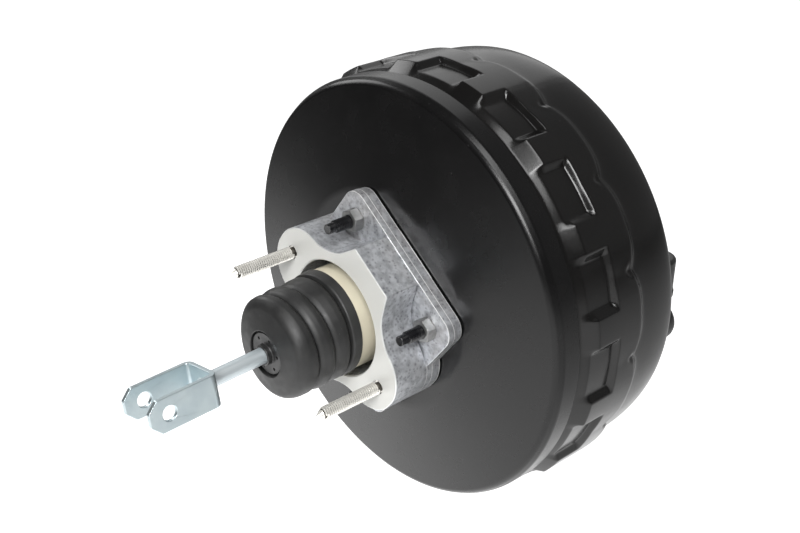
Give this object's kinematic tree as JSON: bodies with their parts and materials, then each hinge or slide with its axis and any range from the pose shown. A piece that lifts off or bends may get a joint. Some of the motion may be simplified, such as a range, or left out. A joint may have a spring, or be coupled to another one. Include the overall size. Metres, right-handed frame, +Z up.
{
  "type": "brake booster",
  "caption": "Round black vacuum brake booster with a cast mounting spacer, threaded studs, a ribbed rubber boot and a forked push rod for the brake pedal.",
  "frame": {"origin": "centre of the spacer's mounting face, midway between the bulkhead studs, on the booster's axis", "axes": "+Y along the booster's axis towards the master cylinder, -Y towards the pedal, +Z up, +X to the right seen from the pedal, along the clevis pin"},
  "size_m": [0.276, 0.3346, 0.276],
  "materials": {
    "rear_paint": "gloss black enamel",
    "front_paint": "gloss black enamel over pressed steel",
    "die_cast": "bare die cast, fine grain, machined mounting face",
    "gasket_paper": "pressed fibre",
    "yellow_zinc": "pale yellow zinc plate, rolled thread",
    "black_steel": "black phosphate",
    "grey_zinc": "dull zinc",
    "blue_zinc": "bright zinc plate",
    "boot_rubber": "moulded rubber, dull",
    "seal_rubber": "moulded rubber",
    "ivory_plastic": "moulded phenolic, semi-matte",
    "black_plastic": "moulded nylon",
    "filter_felt": "felt",
    "spring_steel": "oiled spring wire"
  },
  "bodies": {
    "housing": {"rear_shell": "rear_paint", "front_shell": "front_paint", "mounting_adapter": "die_cast", "adapter_gasket": "gasket_paper", "bulkhead_studs": "yellow_zinc", "shell_studs": "black_steel", "shell_stud_nuts": "grey_zinc", "hub_seal": "seal_rubber", "hub_bush": "black_plastic", "stiffener_plate": "grey_zinc", "cylinder_studs": "black_steel", "mouth_seal": "seal_rubber", "check_grommet": "seal_rubber", "check_valve_body": "black_plastic", "check_valve_spring": "spring_steel", "nipple_cap": "seal_rubber", "return_spring": "spring_steel"},
    "power_piston": {"valve_body": "ivory_plastic", "diaphragm_plate": "grey_zinc", "diaphragm": "seal_rubber", "reaction_disc": "seal_rubber", "output_rod": "blue_zinc", "rod_retainer": "grey_zinc", "stop_key": "grey_zinc", "air_filter": "filter_felt", "valve_retainer": "grey_zinc", "control_valve": "seal_rubber", "poppet_spring": "spring_steel", "input_spring": "spring_steel", "boot": "boot_rubber"},
    "valve_plunger": {"plunger": "blue_zinc"},
    "boot_end": {"vent_disc": "boot_rubber"},
    "spring_seat": {"input_spring_seat": "grey_zinc"},
    "input_rod": {"push_rod": "blue_zinc", "clevis": "blue_zinc"},
    "check_disc": {"check_valve_disc": "seal_rubber"}
  },
  "joints": [
    {"name": "piston_stroke", "type": "slide", "parent": "housing", "child": "power_piston", "axis": [0, 1, 0], "range_m": [0, 0.032], "stiffness_N_per_m": 3000, "springref_m": -0.02, "deforming": ["return_spring", "diaphragm"]},
    {"name": "rod_tilt", "type": "hinge", "parent": "power_piston", "child": "boot_end", "pos_m": [0, 0.06, 0], "axis": [1, 0, 0], "range_deg": [-5.85, 2.15], "stiffness_Nm_per_rad": 11.8, "springref_deg": -1.85, "deforming": ["boot"]},
    {"name": "rod_travel", "type": "slide", "parent": "boot_end", "child": "spring_seat", "axis": [0, 0.9995, 0.0323], "range_m": [0, 0.0016], "stiffness_N_per_m": 3000, "springref_m": -0.005, "deforming": ["input_spring"]},
    {"name": "rod_spin", "type": "hinge", "parent": "spring_seat", "child": "input_rod", "pos_m": [0, 0.06, 0], "axis": [0, 0.9995, 0.0323], "continuous": true},
    {"name": "plunger_travel", "type": "slide", "parent": "power_piston", "child": "valve_plunger", "axis": [0, 1, 0], "range_m": [0, 0.0016]},
    {"name": "check_valve_lift", "type": "slide", "parent": "housing", "child": "check_disc", "axis": [0, 1, 0], "range_m": [0, 0.0015], "stiffness_N_per_m": 150, "springref_m": -0.003, "deforming": ["check_valve_spring"]}
  ],
  "couplings": [
    {"joint": "plunger_travel", "follows": "rod_travel", "ratio": 1}
  ]
}
